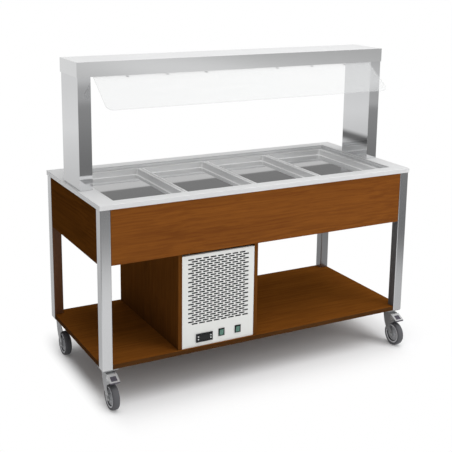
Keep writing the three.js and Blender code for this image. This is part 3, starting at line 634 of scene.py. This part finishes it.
class Maker:
    """A Geometry Nodes tree with named inputs, which puts one shape at each point of a mesh."""

    def __init__(self, name, inputs):
        self.tree = bpy.data.node_groups.new(name, "GeometryNodeTree")
        self.keys = {}
        for key, kind, value in inputs:
            made = self.tree.interface.new_socket(key, in_out="INPUT", socket_type=kind)
            if value is not None:
                made.default_value = value
            self.keys[key] = made.identifier
        self.tree.interface.new_socket("Geometry", in_out="OUTPUT", socket_type="NodeSocketGeometry")
        self.given = self.tree.nodes.new("NodeGroupInput").outputs

    def node(self, kind, settings=None, values=(), out=0):
        """One node: its settings, then the values or links of its sockets; a list is several links."""
        made = self.tree.nodes.new(kind)
        for key, value in (settings or {}).items():
            setattr(made, key, value)
        for key, value in (values.items() if isinstance(values, dict) else enumerate(values)):
            for one in value if isinstance(value, list) else [value]:
                if isinstance(one, bpy.types.NodeSocket):
                    self.tree.links.new(one, made.inputs[key])
                else:
                    made.inputs[key].default_value = one
        return made.outputs[out]

    def times(self, value, factor):
        return self.node("ShaderNodeMath", {"operation": "MULTIPLY"}, [value, factor])

    def finish(self, shape, turn):
        """Sets the shape at the places, makes it real and gives it its finish."""
        placed = self.node("GeometryNodeInstanceOnPoints", {}, {
            "Points": self.given["Places"], "Instance": shape, "Rotation": turn})
        real = self.node("GeometryNodeRealizeInstances", {}, [placed])
        done = self.node("GeometryNodeSetMaterial", {}, {
            "Geometry": real, "Material": self.given["Finish"]})
        self.tree.links.new(done, self.tree.nodes.new("NodeGroupOutput").inputs[0])

    def make(self, name, places, finish, **values):
        """A plain mesh of the shape at places in millimetres."""
        points = bpy.data.meshes.new(name)
        points.from_pydata([[v * MM for v in p] for p in places], [], [])
        holder = bpy.data.objects.new(name, points)
        bpy.context.scene.collection.objects.link(holder)
        maker = holder.modifiers.new("maker", "NODES")
        maker.node_group = self.tree
        maker[self.keys["Finish"]] = finish
        for key, value in values.items():
            maker[self.keys[key]] = value
        graph = bpy.context.evaluated_depsgraph_get()
        mesh = bpy.data.meshes.new_from_object(holder.evaluated_get(graph), depsgraph=graph)
        holder.modifiers.remove(maker)
        bpy.data.objects.remove(holder)
        return mesh


def fastener_maker():
    """A bolt or screw head with a socket, over its washer, each turned by chance about its own axis."""
    made = Maker("fasteners", [
        ("Places", "NodeSocketGeometry", None), ("Sides", "NodeSocketInt", 6),
        ("Radius", "NodeSocketFloat", 0.0045), ("Height", "NodeSocketFloat", 0.003),
        ("Socket", "NodeSocketFloat", 0.002), ("Washer", "NodeSocketFloat", 0.006),
        ("Turn", "NodeSocketVector", (0, 0, 0)), ("Seed", "NodeSocketInt", 7),
        ("Finish", "NodeSocketMaterial", None)])
    given = made.given
    head_taper, washer_share = 0.84, 0.24
    head = made.node("GeometryNodeMeshCone", {}, {
        "Vertices": given["Sides"], "Radius Top": made.times(given["Radius"], head_taper),
        "Radius Bottom": given["Radius"], "Depth": given["Height"]})
    drill = made.node("GeometryNodeTransform", {}, {
        "Geometry": made.node("GeometryNodeMeshCylinder", {}, {
            "Vertices": 6, "Radius": given["Socket"], "Depth": given["Height"]}),
        "Translation": made.node("ShaderNodeCombineXYZ", {}, {"Z": given["Height"]})})
    drilled = made.node("GeometryNodeMeshBoolean", {"operation": "DIFFERENCE"}, {
        "Mesh 1": head, "Mesh 2": drill})
    washer = made.node("GeometryNodeMeshCylinder", {}, {
        "Vertices": 24, "Radius": given["Washer"], "Depth": made.times(given["Height"], washer_share)})
    chance = made.node("FunctionNodeRandomValue", {"data_type": "FLOAT"}, {
        2: 0.0, 3: 2 * math.pi, "Seed": given["Seed"]}, 1)
    about_z = made.node("ShaderNodeCombineXYZ", {}, {"Z": chance})
    turn = made.node("FunctionNodeRotateRotation", {"rotation_space": "LOCAL"}, {
        "Rotation": made.node("FunctionNodeEulerToRotation", {}, [given["Turn"]]),
        "Rotate By": made.node("FunctionNodeEulerToRotation", {}, [about_z])})
    made.finish(made.node("GeometryNodeJoinGeometry", {}, {"Geometry": [drilled, washer]}), turn)
    return made


def bar_maker():
    """A bar of one size."""
    made = Maker("bars", [
        ("Places", "NodeSocketGeometry", None), ("Size", "NodeSocketVector", (0.02, 0.002, 0.001)),
        ("Turn", "NodeSocketVector", (0, 0, 0)), ("Finish", "NodeSocketMaterial", None)])
    bar = made.node("GeometryNodeMeshCube", {}, {"Size": made.given["Size"]})
    made.finish(bar, made.node("FunctionNodeEulerToRotation", {}, [made.given["Turn"]]))
    return made


all_fasteners = fastener_maker()
all_bars = bar_maker()
bolt = dict(sides=6, radius=4.2, height=3.0, socket=1.7, washer=5.6)
screw = dict(sides=20, radius=3.6, height=2.0, socket=1.5, washer=4.6)
guard_screw = dict(sides=20, radius=3.6, height=2.2, socket=1.5, washer=5.2)
# from the middle of a washer to the face that it lies on
set_off = 0.1


def fasteners(name, node, places, turn, kind, seed):
    """Heads at places on the body that carries a node; turn takes them from facing up."""
    lengths = {key.capitalize(): kind[key] * MM for key in ("radius", "height", "socket", "washer")}
    mesh = all_fasteners.make(
        name, places, zinc, Turn=[math.radians(a) for a in turn], Sides=kind["sides"], Seed=seed, **lengths)
    return piece(name, mesh, body_of_node[node], zinc, slot_of_node[node])


def bars(name, node, finish, slot_node, places, size, tilt, width=0.3):
    """Bars of one size with broken edges, turned about X."""
    turn = [math.radians(tilt), 0, 0]
    mesh = all_bars.make(name, places, finish, Size=[v * MM for v in size], Turn=turn)
    return broken(piece(name, smooth(mesh), body_of_node[node], finish, slot_of_node[slot_node]), width)


def blocks(name, node, finish, slot_node, boxes, width=0.3):
    """Small boxes with broken edges, each given by its middle, its size and its turn about X."""
    made = bmesh.new()
    for middle, size, tilt in boxes:
        place = Matrix.Translation([v * MM for v in middle])
        turn = Matrix.Rotation(math.radians(tilt), 4, "X")
        grow = Matrix.Diagonal([v * MM for v in size] + [1])
        bmesh.ops.create_cube(made, size=1, matrix=place @ turn @ grow)
    mesh = smooth(mesh_from(made, name))
    return broken(piece(name, mesh, body_of_node[node], finish, slot_of_node[slot_node]), width)


def plate_bolts(corner):
    """The four bolts that hold a caster's plate, with their heads below it."""
    node = "caster_mount_" + corner
    low, high = box_in_mm(node)
    cx, cy = (low[X] + high[X]) / 2, (low[Y] + high[Y]) / 2
    off_middle, plate = 25.5, 4.0
    places = [(cx + i * off_middle, cy + j * off_middle, high[Z] - plate - set_off)
              for i in (-1, 1) for j in (-1, 1)]
    fasteners("plate_bolts_" + corner, node, places, (180, 0, 0), bolt, seed=3)


def pedal_dress(corner):
    """The ribbed pad on a pedal's sloping plate, and the dark lip at its front."""
    node, rubber = "brake_pedal_" + corner, "wheel_tyre_" + corner
    low, high = box_in_mm(node)
    cx = (low[X] + high[X]) / 2
    drop, run = 20.0, 38.0
    slope = math.atan2(drop, run)
    tilt = math.degrees(slope)

    def on_plate(along, rise):
        """A place on the plate, by its way down the slope and its height over the plate."""
        return (cx, low[Y] + run - along * math.cos(slope) - rise * math.sin(slope),
                high[Z] - along * math.sin(slope) + rise * math.cos(slope))

    pad = (on_plate(24.5, 0.4), (25, 23, 1.2), tilt)
    lip = ((cx, low[Y] + 1.1, low[Z] + 3.4), (high[X] - low[X], 2.0, 6.6), 0)
    blocks("pedal_pad_" + corner, node, pedal_pad, rubber, [pad, lip])
    first_rib, rib_pitch = 15.5, 3.6
    bars("pad_ribs_" + corner, node, pedal_pad, rubber,
         [on_plate(first_rib + rib_pitch * i, 1.3) for i in range(6)], (21, 1.5, 1.4), tilt)


def guard_hardware():
    """The screws on the guard's lower face, and the clips on its upper face below the canopy's front."""
    highest = box_in_mm("guard")[1][Z]
    rake, slope = 36.0, 0.7262
    # the upper edge of the lower face, and its fall from the guard's highest point
    edge_y, edge_fall = -38.1, 4.1
    screw_y = -50.0
    screw_z = highest - edge_fall - (edge_y - screw_y) * slope - set_off
    screws = [(x, screw_y, screw_z) for x in (-610, -525, -350, -172, 0, 172, 350, 525, 610)]
    fasteners("guard_screws", "guard", screws, (180 + rake, 0, 0), guard_screw, seed=9)
    clips = [(x, -66.8, 1294.0) for x in (-525, -350, -172, 172, 350, 525)]
    bars("guard_clips", "guard", hood_steel, "guard", clips, (11, 7, 1.2), rake, 0.4)


for corner in corners:
    plate_bolts(corner)
for corner in corners[:2]:
    pedal_dress(corner)

low, high = box_in_mm("vent_panel_back")
screw_inset, screw_heights = 11, (197, 384.5, 572)
fasteners("back_panel_screws", "vent_panel_back",
          [(x, high[Y] - set_off, z) for x in (low[X] + screw_inset, high[X] - screw_inset)
           for z in screw_heights], (-90, 0, 0), screw, seed=5)

guard_hardware()

# a black mat with hems behind the front slots darkens them: painted shade
low, high = box_in_mm("vent_panel_front")
cx, mat_z = (low[X] + high[X]) / 2, high[Z] - 166
mat_width, mat_height, hem = 312, 318, 4
mat = ((cx, low[Y] + 3.2, mat_z), (mat_width, 2.0, mat_height), 0)
hems = [((cx, low[Y] + 4.9, mat_z + end * (mat_height - hem) / 2), (mat_width, 1.4, hem), 0)
        for end in (-1, 1)]
blocks("slot_shade_backing", "vent_panel_front", slot_shade_black, "vent_panel_front", [mat] + hems, 0.4)

low, high = box_in_mm("controller")
window = (((low[X] + high[X]) / 2, low[Y] + 0.2, (low[Z] + high[Z]) / 2), (44, 1.4, 22), 0)
blocks("controller_window", "controller", smoked, "controller", [window], 0.5)


# Floor, light and camera

def floor_material():
    """White to the camera with the trolley's shadow kept. Steel sees its greys in front of the trolley
    by their distance in metres: light near it, dark from 2 to 7 and light beyond, and darker near its
    right end."""
    made, s = material("studio_floor")
    x, y = s.parts(s.place())[:2]
    away = s.node("ShaderNodeVectorMath", {"operation": "LENGTH"}, [s.place()], "Value")
    half_length, half_depth, soft_edge = 0.68, 0.27, 0.32
    left_end = (x < -0.1) * 2.2 + 1
    aside = x.maths("MAXIMUM", x.maths("ABSOLUTE", x) - half_length, 0) * left_end
    ahead = x.maths("MAXIMUM", x.maths("ABSOLUTE", y) - half_depth, 0)
    clear = x.maths("SQRT", aside * aside + ahead * ahead).step(0.0, soft_edge)
    lit = s.principled(Base_Color=(0.93, 0.93, 0.935, 1), Roughness=0.8, Specular_IOR_Level=0.2)
    white = s.node("ShaderNodeEmission", {}, {"Color": (1, 1, 1, 1), "Strength": 1.0})
    reach = 14
    front = s.ramp(away, reach, (
        (0, 0.8), (0.95, 0.8), (1.2, 0.84), (1.6, 0.84), (1.78, 0.79), (1.94, 0.66), (2.1, 0.44),
        (2.28, 0.32), (2.85, 0.24), (3.4, 0.225), (3.9, 0.205), (4.3, 0.22), (5.9, 0.29), (7.2, 0.31),
        (7.4, 0.5), (8.6, 0.54), (9.2, 0.9), (11, 0.88), (13, 0.7)))
    back = s.ramp(away, reach, ((0, 0.5), (3, 0.6), (6, 0.86), (9, 0.8), (12, 0.8)))
    far_aside = s.ramp(x, reach, (
        (0, 1), (2.6, 0.74), (3.1, 0.82), (3.6, 1), (5.0, 1), (5.9, 0.74), (8, 0.7)))
    near_right = x.step(0.3, 1.0) * (1 - away.step(2.6, 3.4))
    front = s.mix(away.step(6.5, 8.5), front * (1 - near_right * 0.3), front * far_aside)
    greys = s.mix(y.step(-0.4, 0.2), front, back)
    mirrored = s.node("ShaderNodeEmission", {}, {"Color": greys, "Strength": 1.0})
    to_camera = s.light_path("Is Camera Ray") * clear
    to_steel = s.light_path("Is Glossy Ray") * clear
    plain = s.node("ShaderNodeMixShader", {}, {0: to_camera, 1: lit, 2: white})
    s.surface(s.node("ShaderNodeMixShader", {}, {0: to_steel, 1: plain, 2: mirrored}))
    return made


def studio_floor():
    made = bmesh.new()
    bmesh.ops.create_grid(made, x_segments=1, y_segments=1, size=30)
    mesh = mesh_from(made, "floor")
    mesh.materials.append(floor_material())
    floor = bpy.data.objects.new("floor", mesh)
    bpy.context.scene.collection.objects.link(floor)


def studio_world():
    """White to the camera and through the guard. Steel sees a pale room, whose far wall is darker
    below a slope of about a half, and a good deal darker above an edge at about 0.28."""
    world = bpy.data.worlds.new("studio")
    bpy.context.scene.world = world
    world.use_nodes = True
    s = Sheet(world.node_tree)
    x, y, z = s.parts(s.node("ShaderNodeTexCoord", {}, (), "Generated"))
    seen, gloss, through = (
        s.light_path("Is %s Ray" % kind) for kind in ("Camera", "Glossy", "Transmission"))
    slope = z / y
    far_wall = (y > 0) * (1 - slope.step(0.5, 0.6))
    edge_lean = 0.009
    above_edge = (slope + x / y * edge_lean).step(0.2810, 0.2824)
    room = 0.68 - far_wall * (above_edge * 0.33 + 0.15)
    fill = x.step(-0.6, 0.6) * 0.4 + 0.25
    level = seen + through + gloss * room + (1 - seen) * (1 - through) * (1 - gloss) * fill
    sky = s.node("ShaderNodeBackground", {}, {"Color": (1, 1, 1, 1), "Strength": level})
    s.surface(sky, "ShaderNodeOutputWorld")


def lamp(name, place, size, power):
    """A soft lamp that shines on the trolley's middle and doesn't show in its steel."""
    data = bpy.data.lights.new(name, "AREA")
    data.shape = "RECTANGLE"
    data.size, data.size_y = size
    data.energy = power
    made = bpy.data.objects.new(name, data)
    made.visible_glossy = False
    made.location = place
    trolley_middle = Vector((0, 0, 0.6))
    made.rotation_euler = (trolley_middle - Vector(place)).to_track_quat("-Z", "Y").to_euler()
    bpy.context.scene.collection.objects.link(made)


def camera():
    """The photograph's view, from a fit to the trolley's corners in it: degrees and metres."""
    azimuth, height, roll = (math.radians(a) for a in (-28.315, 12.68, 0.7))
    place = Vector((-1.906787, -3.466215, 1.77777))
    level = math.cos(height)
    back = Vector((math.sin(azimuth) * level, -math.cos(azimuth) * level, math.sin(height)))
    right = (-back).cross(Vector((0, 0, 1))).normalized()
    up = right.cross(-back)
    across = right * math.cos(roll) + up * math.sin(roll)
    upward = up * math.cos(roll) - right * math.sin(roll)
    data = bpy.data.cameras.new("view")
    data.lens = 73.313
    data.sensor_width = 36
    data.shift_y = -0.146
    made = bpy.data.objects.new("view", data)
    turn = Matrix((across, upward, back)).transposed().to_4x4()
    made.matrix_world = Matrix.Translation(place) @ turn
    bpy.context.scene.collection.objects.link(made)
    bpy.context.scene.camera = made


studio_floor()
studio_world()
lamp("overhead", (0.2, -0.8, 4.0), (4.2, 4.2), 125)
lamp("front_right", (2.6, -3.6, 2.4), (2.4, 2.4), 70)
camera()
bpy.context.scene.view_settings.view_transform = "Standard"
